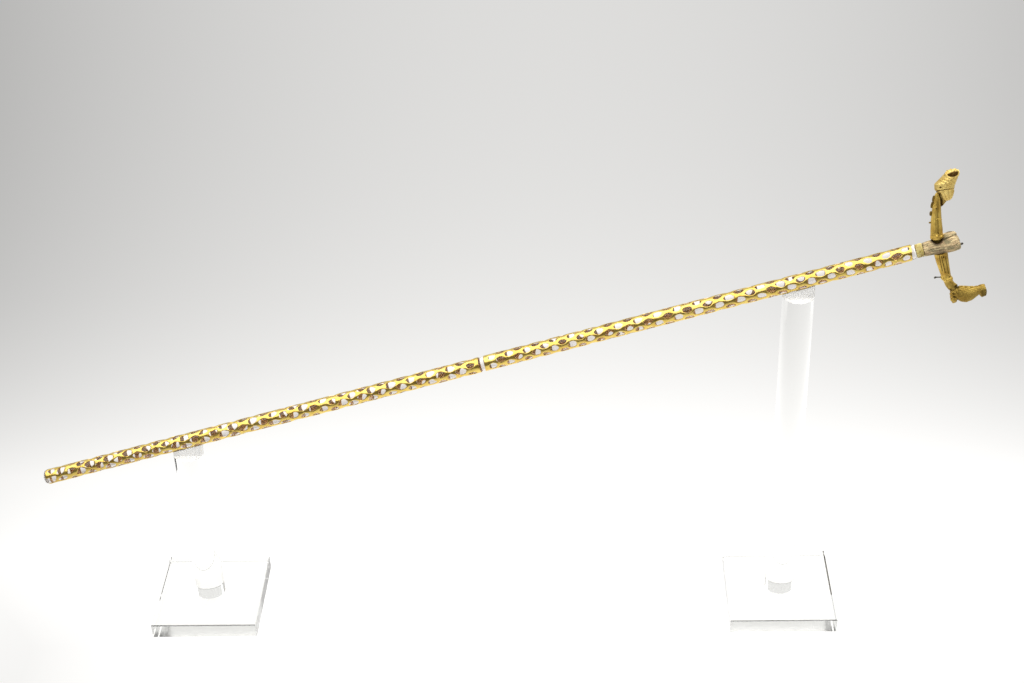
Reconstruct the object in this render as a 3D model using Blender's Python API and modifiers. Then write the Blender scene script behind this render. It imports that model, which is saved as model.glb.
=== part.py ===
"""Gold-sheathed sceptre held up on its two clear stands, at real size, in metres, +Z up.

The stands are modelled upright in the world.  The sceptre is modelled along its own axis, where
local X runs from the lower end to the head, local Z is square to it and points up, and local Y
points away from the front.  One empty sets it on the stands at its slope.  On the sceptre a place
is given as "along" (X) and "rise" (Z), both measured from where the axis crosses the left post.
"""

import math

import bmesh
import bpy
from mathutils import Matrix, Vector

GAP = 0.0003
MM = 0.001
ALONG_AXIS = (0, math.pi / 2, 0)
ACROSS_AXIS = (math.pi / 2, 0, 0)
SMALL_FACETS = 8

# Stands
PLATE_SIDE = 0.080
PLATE_THICKNESS = 0.012
PLATE_EDGE = 0.0006
POST_RADIUS = 0.011
POST_SPACING = 0.4384
LEFT_POST_X = -0.2279
POST_FACETS = 20
TONGUE_THICKNESS = 0.008
SHOULDER_BELOW_AXIS = 0.0108
SEAT_DEPTH = 0.0012
SEAT_CUT_HEIGHT = 0.040

# The sceptre's axis
AXIS_HEIGHT = 0.1568
SLOPE = math.radians(16.42)

# Core rod and collar
ROD_RADIUS = 0.0049
ROD_ENDS = (-0.1141, 0.5368)
ROD_EDGE = 0.0008
COLLAR_RADIUS = 0.0048
COLLAR_ENDS = (0.5371, 0.5419)
COLLAR_EDGE = 0.0005
BAR_FACETS = 12

# Pierced sheaths: openings stand on rows half a pitch apart, in every second column
SHEATH_RADIUS = 0.00555
SHEATH_WALL = 0.0003
LOWER_SHEATH_ENDS = (-0.1121, 0.2268)
UPPER_SHEATH_ENDS = (0.2302, 0.5346)
COLUMNS = 8
COLUMN_STEP = 2 * math.pi / COLUMNS
LOWER_PITCH = 0.0152
UPPER_PITCH = 0.0140
LOWER_OPENING = (0.0104, 0.0062)
UPPER_OPENING = (0.0090, 0.0058)
SWAY = math.radians(9)
SWAY_LENGTH = 0.17
LOST_CORNER = (-0.1108, math.radians(-5))
LOST_CORNER_SIZE = (0.0062, 0.0034, 0.0034)

# Sockets in the wood fragment that the arms stand in: radius, and rise of the floor
ARM_ALONG = 0.5525
UPPER_SOCKET = (0.0034, 0.0027)
LOWER_SOCKET = (0.0049, -0.0044)
SOCKET_DEPTH = 0.010
SOCKET_FACETS = 14
SPLINTER_SLIT = (0.010, 0.004, 0.0007)
SPLINTER_PLACE = (0.561, -0.006, 0.0036)
SPLINTER_TURN = (math.radians(-25), math.radians(-14), 0)

# Small holes and pins: radius, length and place on the sceptre
EYELET = (0.0007, 0.006, (0.5616, -0.005, 0.0456))
WIRE_PIN = (0.00045, 0.0036, (0.5472, 0, -0.0249))
WIRE_KNOB = (0.00085, 0.0015, (0.5454, 0, -0.0250))
WIRE_KNOB_EDGE = 0.0003
NAIL = (0.0009, 0.0016, (0.5678, 0, -0.0032))


# --- scene, materials and small tools ---------------------------------------------------------

def clear_scene():
    for old in list(bpy.data.objects):
        bpy.data.objects.remove(old, do_unlink=True)


def new_collection(name):
    made = bpy.data.collections.new(name)
    bpy.context.scene.collection.children.link(made)
    return made


def material(name, colour, roughness, metallic=0.0, transmission=0.0):
    made = bpy.data.materials.new(name)
    made.use_nodes = True
    shader = made.node_tree.nodes["Principled BSDF"]
    shader.inputs["Base Color"].default_value = (*colour, 1.0)
    shader.inputs["Roughness"].default_value = roughness
    shader.inputs["Metallic"].default_value = metallic
    shader.inputs["Transmission Weight"].default_value = transmission
    made.diffuse_color = (*colour, 1.0)
    return made


def clear_acrylic(name):
    return material(name, (0.93, 0.96, 0.95), 0.05, transmission=1.0)


def gold_sheet(name):
    return material(name, (0.83, 0.60, 0.19), 0.28, metallic=1.0)


def put_in(made, collection, parent):
    for old in list(made.users_collection):
        old.objects.unlink(made)
    collection.objects.link(made)
    made.parent = parent
    return made


def from_bmesh(name, bm, finish, parent):
    """A named part made of a bmesh, which is freed."""
    data = bpy.data.meshes.new(name)
    bm.to_mesh(data)
    bm.free()
    data.materials.append(finish)
    return put_in(bpy.data.objects.new(name, data), PART, parent)


def name_part(made, name, finish, parent=None):
    """Make the primitive just added a named part."""
    made.name = name
    made.data.name = name
    made.data.materials.append(finish)
    return put_in(made, PART, parent)


def name_cutter(made, name, parent=None):
    """Make the primitive just added a cutter."""
    made.name = name
    made.hide_render = True
    made.display_type = "WIRE"
    return put_in(made, CUTTERS, parent)


def cube(size, centre):
    bpy.ops.mesh.primitive_cube_add(size=1)
    made = bpy.context.object
    made.data.transform(Matrix.Diagonal((*size, 1.0)))
    made.location = centre
    return made


def cylinder(radius, length, centre, facets, turn=(0, 0, 0)):
    bpy.ops.mesh.primitive_cylinder_add(vertices=facets, radius=radius, depth=length)
    made = bpy.context.object
    made.location = centre
    made.rotation_euler = turn
    return made


def ellipsoid(size, centre, turn):
    bpy.ops.mesh.primitive_uv_sphere_add(segments=12, ring_count=8, radius=1)
    made = bpy.context.object
    made.data.transform(Matrix.Diagonal((*size, 1.0)))
    made.location = centre
    made.rotation_euler = turn
    return made


def bevel(made, width, segments=1):
    modifier = made.modifiers.new("soft_edges", "BEVEL")
    modifier.width = width
    modifier.segments = segments
    modifier.limit_method = "ANGLE"


def boolean(made, other, operation="DIFFERENCE"):
    modifier = made.modifiers.new(other.name, "BOOLEAN")
    modifier.object = other
    modifier.operation = operation
    modifier.solver = "EXACT"


def shade_round(made, sharp_angle=35):
    made.data.shade_smooth()
    made.data.set_sharp_from_angle(angle=math.radians(sharp_angle))


# --- stands -------------------------------------------------------------------------------------

def foot_plate(name, post_x):
    plate = cube((PLATE_SIDE, PLATE_SIDE, PLATE_THICKNESS), (post_x, 0, PLATE_THICKNESS / 2))
    name_part(plate, name, clear_acrylic(name + "_acrylic"))
    bevel(plate, PLATE_EDGE)


def seat_cutters(sceptre):
    """The slanted cut that ends both tongues, and the groove that the sheath lies in."""
    reach = 2 * POST_SPACING
    centre_rise = -SHEATH_RADIUS + SEAT_DEPTH + SEAT_CUT_HEIGHT / 2
    above = cube((reach, PLATE_SIDE, SEAT_CUT_HEIGHT), (POST_SPACING / 2, 0, centre_rise))
    name_cutter(above, "tongue_end_cut", sceptre)
    groove = cylinder(SHEATH_RADIUS + GAP, reach, (POST_SPACING / 2, 0, 0), POST_FACETS, ALONG_AXIS)
    name_cutter(groove, "seat_groove", sceptre)
    return above, groove


def post(name, post_x, seat_height, seat_tools):
    """Round post, its top milled flat on both sides to a tongue with a slanted seat."""
    bottom = PLATE_THICKNESS + GAP
    middle = (bottom + seat_height) / 2
    made = cylinder(POST_RADIUS, seat_height - bottom, (post_x, 0, middle), POST_FACETS)
    name_part(made, name, clear_acrylic(name + "_acrylic"))
    shoulder = seat_height - SHOULDER_BELOW_AXIS
    for side in (-1, 1):
        across = side * (TONGUE_THICKNESS + PLATE_SIDE) / 2
        centre = (post_x, across, shoulder + POST_RADIUS)
        flat = cube((PLATE_SIDE, PLATE_SIDE, 2 * POST_RADIUS), centre)
        name_cutter(flat, f"{name}_flat_{'front' if side < 0 else 'back'}")
        boolean(made, flat)
    for tool in seat_tools:
        boolean(made, tool)
    shade_round(made)


# --- pierced gold sheaths -------------------------------------------------------------------------

def sway(along):
    """How far the hand-rolled net has turned about the rod at a place along it."""
    return SWAY * math.sin(2 * math.pi * along / SWAY_LENGTH)


def on_sheath(along, angle):
    """Point on the sheath; angle 0 faces the front and a quarter turn faces up."""
    return Vector((along, -SHEATH_RADIUS * math.cos(angle), SHEATH_RADIUS * math.sin(angle)))


def pierced_sheath(name, ends, pitch, opening, sceptre):
    """Sheet rolled to a tube and pierced by a staggered net of lozenge openings.

    Each opening has four corners, and each web lies between the corners of the openings round it,
    so the net has no other points than those corners and its two rims.  A rim has a point at each
    column and one midway to the next.  Webs are split so that no edge cuts deep into the tube.
    """
    start, end = ends
    length, width = opening
    row_step = pitch / 2
    rows = int((end - start) / row_step)
    first = (start + end - (rows - 1) * row_step) / 2
    half_turn = width / SHEATH_RADIUS / 2
    bm = bmesh.new()

    def rim(along, shift):
        turns = [(column + shift) * COLUMN_STEP + sway(along) for column in range(COLUMNS)]
        return [bm.verts.new(on_sheath(along, turn)) for turn in turns]

    start_rim = rim(start, 0)
    start_midway = rim(start, 0.5)
    end_rim = rim(end, 0)
    end_midway = rim(end, 0.5)
    corners = {}
    for row in range(rows):
        along = first + row * row_step
        for column in range(row % 2, COLUMNS, 2):
            angle = column * COLUMN_STEP + sway(along)
            places = {
                "tail": (along - length / 2, angle),
                "nose": (along + length / 2, angle),
                "low": (along, angle - half_turn),
                "high": (along, angle + half_turn),
            }
            for corner, place in places.items():
                corners[row, column, corner] = bm.verts.new(on_sheath(*place))

    def corner(row, column, which):
        column %= COLUMNS
        if row < 0:
            return start_rim[column]
        if row >= rows:
            return end_rim[column]
        return corners[row, column, which]

    def web(*corners_round):
        first_corner = corners_round[0]
        for second, third in zip(corners_round[1:], corners_round[2:]):
            bm.faces.new((first_corner, second, third))

    for row in range(rows):
        for column in range(COLUMNS):
            if (row + column) % 2:
                bm.faces.new((
                    corner(row - 1, column, "nose"),
                    corner(row, column - 1, "high"),
                    corner(row + 1, column, "tail"),
                    corner(row, column + 1, "low"),
                ))
            elif row + 1 < rows:
                web(
                    corner(row + 1, column + 1, "low"),
                    corner(row + 1, column + 1, "tail"),
                    corner(row, column, "high"),
                    corner(row, column, "nose"),
                )
                web(
                    corner(row, column, "low"),
                    corner(row + 1, column - 1, "tail"),
                    corner(row + 1, column - 1, "high"),
                    corner(row, column, "nose"),
                )

    for column in range(0, COLUMNS, 2):
        here = start_rim[column]
        tail = corner(0, column, "tail")
        after = start_rim[column + 1]
        before = start_rim[column - 1]
        web(start_midway[column], here, tail, corner(0, column, "high"), after)
        web(start_midway[column - 1], before, corner(0, column, "low"), tail, here)
    last = rows - 1
    for column in range(last % 2, COLUMNS, 2):
        here = end_rim[column]
        nose = corner(last, column, "nose")
        after = end_rim[(column + 1) % COLUMNS]
        before = end_rim[column - 1]
        web(end_midway[column], after, corner(last, column, "high"), nose, here)
        web(end_midway[column - 1], here, nose, corner(last, column, "low"), before)

    made = from_bmesh(name, bm, gold_sheet(name + "_gold"), sceptre)
    wall = made.modifiers.new("sheet_thickness", "SOLIDIFY")
    wall.thickness = SHEATH_WALL
    wall.offset = -1
    return made


# --- lofted pieces --------------------------------------------------------------------------------

def loft(bm, sections, sides, flute=0.0, ripple=None):
    """Skin through elliptical rings that stand on the given sections, closed flat at both ends.

    A section is its two outline points, each (along, rise) in mm, and half its depth in mm.
    flute draws every second corner inward by that share, and ripple scales a corner by its place.
    """
    rings = []
    for number, (one, other, half_depth) in enumerate(sections):
        centre = Vector(((one[0] + other[0]) / 2, 0, (one[1] + other[1]) / 2)) * MM
        reach = Vector((other[0] - one[0], 0, other[1] - one[1])) * MM / 2
        depth = Vector((0, half_depth * MM, 0))
        ring = []
        for side in range(sides):
            angle = 2 * math.pi * side / sides
            scale = 1 - flute * (side % 2)
            if ripple:
                scale *= ripple(number, angle)
            point = centre + scale * (reach * math.cos(angle) + depth * math.sin(angle))
            ring.append(bm.verts.new(point))
        rings.append(ring)
    for near, far in zip(rings, rings[1:]):
        for side in range(sides):
            after = (side + 1) % sides
            bm.faces.new((near[side], near[after], far[after], far[side]))
    bm.faces.new(list(reversed(rings[0])))
    bm.faces.new(rings[-1])
    bmesh.ops.recalc_face_normals(bm, faces=bm.faces)


def lofted(name, sections, sides, finish, sceptre, **shape):
    bm = bmesh.new()
    loft(bm, sections, sides, **shape)
    made = from_bmesh(name, bm, finish, sceptre)
    shade_round(made)
    return made


def lofted_tool(name, sections, sides, sceptre, **shape):
    """A loft that is cut from or joined to a part."""
    bm = bmesh.new()
    loft(bm, sections, sides, **shape)
    data = bpy.data.meshes.new(name)
    bm.to_mesh(data)
    bm.free()
    return name_cutter(bpy.data.objects.new(name, data), name, sceptre)


def on_edge(edge, distance):
    """Point and direction on an outline of (along, rise) points, a distance from its start."""
    for start, end in zip(edge, edge[1:]):
        run = Vector(end) - Vector(start)
        if distance <= run.length or end == edge[-1]:
            return Vector(start) + run.normalized() * distance, run.normalized()
        distance -= run.length


def crest(made, name, sections, spans, height, thickness, sceptre):
    """Upright blocks of sheet joined along the first outline edge of a loft.

    Each span gives where a block starts and ends along that edge, in mm from the loft's start.
    """
    edge = [one for one, other, half_depth in sections]
    for number, (start, end) in enumerate(spans):
        point, direction = on_edge(edge, (start + end) / 2)
        bpy.ops.mesh.primitive_cone_add(vertices=4, radius1=0.5, radius2=0.34, depth=1)
        block = bpy.context.object
        block.data.transform(Matrix.Rotation(math.pi / 4, 4, "Z"))
        block.data.transform(Matrix.Diagonal((math.sqrt(2), math.sqrt(2), 1.0, 1.0)))
        block.data.transform(Matrix.Diagonal(((end - start) * MM, thickness, 2 * height, 1.0)))
        block.location = (point.x * MM, 0, point.y * MM)
        block.rotation_euler = (0, -math.atan2(direction.y, direction.x), 0)
        name_cutter(block, f"{name}_{number}", sceptre)
        boolean(made, block, "UNION")


# --- wood fragment ----------------------------------------------------------------------------------

WOOD_SIDES = 14
WOOD = (
    ((542.2, 4.5), (542.2, -4.5), 4.5),
    ((545.5, 4.9), (545.5, -4.8), 4.8),
    ((550.0, 5.0), (550.0, -5.2), 5.2),
    ((555.0, 5.4), (555.0, -5.8), 5.7),
    ((557.5, 6.6), (557.5, -6.2), 6.2),
    ((561.5, 7.0), (561.5, -6.4), 6.4),
    ((564.5, 6.2), (565.0, -6.2), 5.8),
    ((566.4, 2.6), (566.6, -5.0), 4.3),
)


def weathered(number, angle):
    """Uneven radius of wood that has shrunk and split along its grain."""
    return 1 + 0.035 * math.sin(3 * angle + 0.8 * number) + 0.025 * math.sin(5 * angle - 1.7 * number)


def wood_head(sceptre):
    """Fragment with a socket for each arm, and a slit where its upper layer lifts as a splinter."""
    finish = material("old_wood", (0.46, 0.35, 0.25), 0.85)
    made = lofted("wood_head", WOOD, WOOD_SIDES, finish, sceptre, ripple=weathered)
    for place, (radius, floor) in (("upper", UPPER_SOCKET), ("lower", LOWER_SOCKET)):
        centre_rise = floor + math.copysign(SOCKET_DEPTH / 2, floor)
        socket = cylinder(radius, SOCKET_DEPTH, (ARM_ALONG, 0, centre_rise), SOCKET_FACETS)
        boolean(made, name_cutter(socket, f"{place}_socket", sceptre))
    slit = cube(SPLINTER_SLIT, SPLINTER_PLACE)
    slit.rotation_euler = SPLINTER_TURN
    boolean(made, name_cutter(slit, "splinter_slit", sceptre))


# --- arms -------------------------------------------------------------------------------------------

UPPER_NECK = (
    ((549.6, 3.1), (555.4, 3.0), 2.9),
    ((549.6, 6.6), (555.4, 6.2), 2.9),
    ((548.2, 6.8), (556.9, 6.4), 4.3),
    ((548.3, 8.2), (557.1, 7.8), 4.3),
    ((548.8, 8.5), (556.9, 8.1), 4.0),
    ((549.4, 12.0), (557.8, 11.6), 4.1),
    ((551.0, 20.2), (558.3, 19.6), 3.6),
    ((552.6, 27.0), (559.2, 26.2), 3.2),
    ((553.9, 32.0), (559.6, 31.2), 2.9),
    ((555.6, 37.6), (559.8, 36.8), 2.4),
    ((556.6, 39.9), (559.4, 39.5), 1.5),
)
UPPER_ROOT = 2
UPPER_CREST = ((3.4, 5.2), (11.4, 13.4), (17.4, 21.4), (22.6, 27.4), (28.0, 32.4))

UPPER_HEAD = (
    ((563.4, 33.2), (566.9, 33.0), 1.6),
    ((561.7, 35.8), (568.8, 35.6), 3.2),
    ((560.9, 38.7), (570.0, 38.4), 4.1),
    ((561.4, 39.9), (569.5, 39.5), 3.8),
    ((558.9, 41.0), (570.6, 40.3), 4.6),
    ((558.3, 43.4), (571.3, 42.8), 4.9),
    ((558.9, 46.8), (572.3, 45.2), 4.8),
    ((562.4, 49.5), (574.2, 47.8), 4.3),
    ((565.8, 51.6), (575.5, 50.2), 4.2),
    ((567.0, 53.2), (575.9, 52.6), 4.1),
)

UPPER_MOUTH = (
    ((567.9, 53.9), (575.0, 53.4), 3.2),
    ((566.9, 51.4), (574.6, 50.0), 3.3),
    ((565.4, 48.8), (572.4, 47.4), 2.8),
)

UPPER_BRACT = (
    ((560.3, 29.6), (561.2, 29.8), 0.8),
    ((560.4, 32.6), (563.8, 32.2), 2.2),
    ((560.6, 36.2), (565.4, 34.6), 2.6),
    ((562.2, 38.4), (566.0, 37.4), 2.2),
)

LOWER_NECK = (
    ((548.2, -4.8), (556.9, -4.8), 4.3),
    ((548.3, -12.0), (556.5, -12.0), 4.0),
    ((549.0, -18.5), (556.0, -18.5), 3.5),
    ((549.8, -24.9), (555.4, -26.3), 2.9),
    ((549.4, -25.4), (556.0, -27.0), 3.4),
    ((549.6, -26.6), (556.3, -28.4), 3.4),
    ((550.3, -27.2), (555.9, -29.0), 2.7),
    ((551.2, -33.0), (557.0, -32.0), 2.6),
    ((552.7, -36.7), (559.6, -35.3), 2.9),
)

LOWER_HEAD = (
    ((555.4, -39.6), (555.6, -44.0), 2.0),
    ((557.6, -37.6), (557.4, -46.4), 3.2),
    ((559.6, -36.9), (558.8, -48.0), 4.0),
    ((562.6, -37.6), (562.0, -49.6), 4.6),
    ((566.0, -38.8), (566.0, -49.0), 4.4),
    ((569.5, -39.9), (569.5, -47.2), 3.4),
    ((571.6, -40.2), (571.3, -46.3), 2.9),
    ((574.0, -40.1), (573.2, -48.7), 3.6),
    ((576.9, -41.0), (576.3, -48.0), 3.2),
)
LOWER_CREST = ((5.6, 7.6), (8.4, 10.2), (11.2, 13.0), (14.0, 15.8))

LOWER_MOUTH = (
    ((577.6, -42.0), (577.0, -47.1), 2.4),
    ((575.4, -41.6), (575.0, -47.0), 2.5),
    ((573.6, -42.4), (573.0, -46.2), 1.8),
)

LOWER_BULB = (
    ((553.3, -37.4), (558.4, -36.6), 2.4),
    ((552.7, -41.0), (557.6, -41.0), 2.6),
    ((551.9, -46.0), (556.6, -45.6), 2.3),
    ((552.8, -48.8), (555.4, -48.6), 1.3),
)

CREST_HEIGHT = 0.0010
CREST_THICKNESS = 0.0012
FLUTE = 0.06
NECK_SIDES = 14
HEAD_SIDES = 12
BRACT_SIDES = 8


def upper_arm(sceptre):
    gold = gold_sheet("arm_gold")
    neck = lofted("neck_upper", UPPER_NECK, NECK_SIDES, gold, sceptre, flute=FLUTE)
    sleeve = UPPER_NECK[UPPER_ROOT:]
    crest(neck, "upper_crest", sleeve, UPPER_CREST, CREST_HEIGHT, CREST_THICKNESS, sceptre)
    head = lofted("head_upper", UPPER_HEAD, HEAD_SIDES, gold, sceptre)
    boolean(head, lofted_tool("upper_bract", UPPER_BRACT, BRACT_SIDES, sceptre), "UNION")
    boolean(head, lofted_tool("upper_mouth", UPPER_MOUTH, HEAD_SIDES, sceptre))
    eyelet = cylinder(*EYELET, SMALL_FACETS, ACROSS_AXIS)
    boolean(head, name_cutter(eyelet, "upper_eyelet", sceptre))


def lower_arm(sceptre):
    gold = bpy.data.materials["arm_gold"]
    lofted("neck_lower", LOWER_NECK, NECK_SIDES, gold, sceptre, flute=FLUTE)
    head = lofted("head_lower", LOWER_HEAD, HEAD_SIDES, gold, sceptre)
    boolean(head, lofted_tool("lower_bulb", LOWER_BULB, HEAD_SIDES, sceptre), "UNION")
    boolean(head, lofted_tool("lower_mouth", LOWER_MOUTH, HEAD_SIDES, sceptre))
    crest(head, "lower_crest", LOWER_HEAD, LOWER_CREST, CREST_HEIGHT, CREST_THICKNESS, sceptre)


def pins(sceptre):
    """A bent wire pin held in the lower sleeve, and the nail in the wood's broken end."""
    dark = material("dark_bronze", (0.05, 0.045, 0.04), 0.5, metallic=0.6)
    wire = cylinder(*WIRE_PIN, SMALL_FACETS, ALONG_AXIS)
    name_part(wire, "pin_neck", dark, sceptre)
    knob = cylinder(*WIRE_KNOB, SMALL_FACETS, ACROSS_AXIS)
    bevel(knob, WIRE_KNOB_EDGE)
    boolean(wire, name_cutter(knob, "pin_neck_knob", sceptre), "UNION")
    nail = cylinder(*NAIL, SMALL_FACETS, ALONG_AXIS)
    name_part(nail, "pin_wood", dark, sceptre)


# --- the whole part ---------------------------------------------------------------------------------

def sceptre_axis():
    axis = bpy.data.objects.new("sceptre_axis", None)
    axis.location = (LEFT_POST_X, 0, AXIS_HEIGHT)
    axis.rotation_euler = (0, -SLOPE, 0)
    PART.objects.link(axis)
    return axis


def round_bar(name, radius, ends, edge, finish, sceptre):
    start, end = ends
    made = cylinder(radius, end - start, ((start + end) / 2, 0, 0), BAR_FACETS, ALONG_AXIS)
    name_part(made, name, finish, sceptre)
    bevel(made, edge)
    shade_round(made)


def lost_corner(sheath, sceptre):
    """The piece of sheet torn from the lower end, on the side that faces the front."""
    along, angle = LOST_CORNER
    centre = on_sheath(along, angle)
    missing = ellipsoid(LOST_CORNER_SIZE, centre, (-angle, 0, 0))
    boolean(sheath, name_cutter(missing, "lost_corner", sceptre))


clear_scene()
PART = new_collection("sceptre_on_stands")
CUTTERS = new_collection("cutters")
axis = sceptre_axis()

tools = seat_cutters(axis)
for side, post_x in (("left", LEFT_POST_X), ("right", LEFT_POST_X + POST_SPACING)):
    foot_plate(f"foot_plate_{side}", post_x)
    rise = (post_x - LEFT_POST_X) * math.tan(SLOPE)
    post(f"post_{side}", post_x, AXIS_HEIGHT + rise, tools)

round_bar("core_rod", ROD_RADIUS, ROD_ENDS, ROD_EDGE, clear_acrylic("rod_acrylic"), axis)
lower_sheath = pierced_sheath("sheath_lower", LOWER_SHEATH_ENDS, LOWER_PITCH, LOWER_OPENING, axis)
lost_corner(lower_sheath, axis)
pierced_sheath("sheath_upper", UPPER_SHEATH_ENDS, UPPER_PITCH, UPPER_OPENING, axis)
resin = material("aged_resin", (0.60, 0.50, 0.22), 0.6)
round_bar("head_collar", COLLAR_RADIUS, COLLAR_ENDS, COLLAR_EDGE, resin, axis)
wood_head(axis)
upper_arm(axis)
lower_arm(axis)
pins(axis)
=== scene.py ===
"""Looks of a gold-sheathed sceptre held up on its two clear stands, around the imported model.

The script follows the object from the table up: plates, posts, the clear rod, the pierced sheaths
on it, then the collar, the wood fragment and the two gold arms.  A place on the sceptre is given
in mm as along (from the left post toward the head), depth (away from the front) and rise (square
to both).
"""
from functools import partial
import math

import bpy
import numpy as np
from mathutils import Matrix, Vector


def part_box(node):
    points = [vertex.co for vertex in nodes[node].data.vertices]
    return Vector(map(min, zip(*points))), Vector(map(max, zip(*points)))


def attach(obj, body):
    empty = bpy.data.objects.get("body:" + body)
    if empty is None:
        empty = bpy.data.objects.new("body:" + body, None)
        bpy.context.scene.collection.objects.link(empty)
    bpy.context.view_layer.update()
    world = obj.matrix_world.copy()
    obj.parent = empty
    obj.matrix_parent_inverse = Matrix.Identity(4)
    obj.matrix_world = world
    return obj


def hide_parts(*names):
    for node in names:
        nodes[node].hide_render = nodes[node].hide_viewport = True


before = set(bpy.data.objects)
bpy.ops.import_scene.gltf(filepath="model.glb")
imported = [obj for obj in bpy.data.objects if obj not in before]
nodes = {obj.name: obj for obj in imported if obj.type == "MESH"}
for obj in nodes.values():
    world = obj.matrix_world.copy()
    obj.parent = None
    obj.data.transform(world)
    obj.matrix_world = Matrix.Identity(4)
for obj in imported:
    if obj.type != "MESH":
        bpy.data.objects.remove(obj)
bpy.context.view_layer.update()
MM = 0.001


# --- Foot plates ---
# Square feet of 12 mm cast acrylic sheet, sawn and flame polished, each glued under its post.  The
# polish leaves the clear faces very slightly wavy, and the table has rubbed the undersides.

CAST_ACRYLIC = "#fbfbf9"
ACRYLIC_IOR = 1.49
POLISH_SMEAR = 9
SMEAR_ROUGHNESS = 0.05
PLATE_RIPPLE = (22, 0.05)
RUBBED_UNDERSIDE = 0.18


def linear(colour):
    """Linear RGBA of an sRGB hex colour."""
    channels = np.array([int(colour[place:place + 2], 16) for place in (1, 3, 5)]) / 255
    bright = ((channels + 0.055) / 1.055) ** 2.4
    return (*np.where(channels <= 0.04045, channels / 12.92, bright), 1.0)


def feed(node, links):
    """Link sockets of a node, each from an output or from another node's first output."""
    for socket, source in links.items():
        if isinstance(source, bpy.types.Node):
            source = source.outputs[0]
        node.id_data.links.new(source, node.inputs[socket])


def add_node(tree, kind, settings=None, links=None):
    """Add a node: settings are its properties or its sockets' plain values, links feed sockets."""
    node = tree.nodes.new("ShaderNode" + kind)
    for key, value in (settings or {}).items():
        if isinstance(key, str) and hasattr(node, key):
            setattr(node, key, value)
        else:
            node.inputs[key].default_value = value
    feed(node, links or {})
    return node


def new_finish(name, plain):
    """A material with plain values on its shader: itself, its shader, and what adds its nodes."""
    made = bpy.data.materials.new(name)
    made.use_nodes = True
    shader = made.node_tree.nodes["Principled BSDF"]
    for socket, value in plain.items():
        shader.inputs[socket].default_value = value
    return made, shader, partial(add_node, made.node_tree)


def object_place(add, size, turn=(0, 0, 0)):
    """Object coordinates divided by the size of a pattern's repeat in mm, after a turn."""
    scale = tuple(np.array(size) * MM * np.ones(3))
    settings = {"vector_type": "TEXTURE", "Rotation": turn, "Scale": scale}
    return add("Mapping", settings, {"Vector": add("TexCoord").outputs["Object"]})


def acrylic_finish(name, colour, ripple_size, ripple_height, underside=0.0):
    """Clear acrylic: smears of polish in its gloss and a long ripple in its surface, sizes in mm.

    underside is the roughness of the faces turned down.
    """
    made, shader, add = new_finish(name, {
        "Base Color": linear(colour),
        "Transmission Weight": 1.0,
        "IOR": ACRYLIC_IOR,
    })
    smears, ripple = (
        add("TexNoise", {"Scale": 1.0, "Detail": detail}, {"Vector": object_place(add, size)})
        for size, detail in ((POLISH_SMEAR, 3.0), (ripple_size, 0.0)))
    gloss = add("MapRange", {"From Min": 0.45, "From Max": 0.75, "To Max": SMEAR_ROUGHNESS},
                {"Value": smears})
    bump = add("Bump", {"Distance": ripple_height * MM}, {"Height": ripple})
    facing = add("SeparateXYZ", {}, {"Vector": add("NewGeometry").outputs["True Normal"]})
    rubbed = add("MapRange", {"From Min": -0.5, "From Max": -0.9, "To Max": underside},
                 {"Value": facing.outputs["Z"]})
    rough = add("Math", {"operation": "ADD"}, {0: gloss, 1: rubbed})
    feed(shader, {"Roughness": rough, "Normal": bump})
    return made


plate_acrylic = acrylic_finish("flame_polished_cast_acrylic", CAST_ACRYLIC, *PLATE_RIPPLE,
                               RUBBED_UNDERSIDE)
for side in ("left", "right"):
    nodes[f"foot_plate_{side}"].material_slots[0].material = plate_acrylic


# --- Posts ---
# Turned and polished 22 mm cast acrylic bar, its top milled flat on two sides to a tongue, and the
# tongue cut to the sceptre's slope with a shallow groove that the sheath lies in.  The milled
# faces are left satin.

SLOPE = math.radians(16.42)
POST_RADIUS = 11.0
HALF_TONGUE = 4.0
SHOULDER_BELOW_AXIS = 10.8
SEAT_RISE = -4.35
GROOVE_RADIUS = 5.85
POST_EDGE = 0.4
SHOULDER_SHARE = 0.96
PLAIN_BAR = 20
SEAT_SHARES = (1.0, 0.97, 0.85, 0.7, 0.55, 0.4, 0.25, 0.1)
FIRST_MILLED = 4
POST_RIPPLE = (30, 0.04)
TURNED_ACRYLIC = "#fcfcfb"
MILLED_ACRYLIC = "#fefefd"

plate_centre = sum(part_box("foot_plate_left"), Vector()) / 2
rod_centre = sum(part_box("core_rod"), Vector()) / 2
AXIS_START = Vector((
    plate_centre.x,
    plate_centre.y,
    rod_centre.z - (rod_centre.x - plate_centre.x) * math.tan(SLOPE),
))


def closed_tube(rings):
    """Points and faces of a grid of rings (station, side, place) closed at both ends.

    The last two points are the end rings' middles, and the last faces are a fan to each of them.
    """
    stations, sides = rings.shape[:2]
    ring = np.arange(sides)
    after = (ring + 1) % sides
    start = np.arange(stations - 1)[:, None] * sides
    beyond = start + sides
    quads = np.stack([start + ring, start + after, beyond + after, beyond + ring], axis=-1)
    middle = np.full(sides, stations * sides)
    last = (stations - 1) * sides
    near = np.stack([middle, after, ring], axis=-1)
    far = np.stack([middle + 1, last + ring, last + after], axis=-1)
    points = np.concatenate([rings.reshape(-1, 3), rings[[0, -1]].mean(axis=1)])
    return points, quads.reshape(-1, 4).tolist() + near.tolist() + far.tolist()


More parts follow.
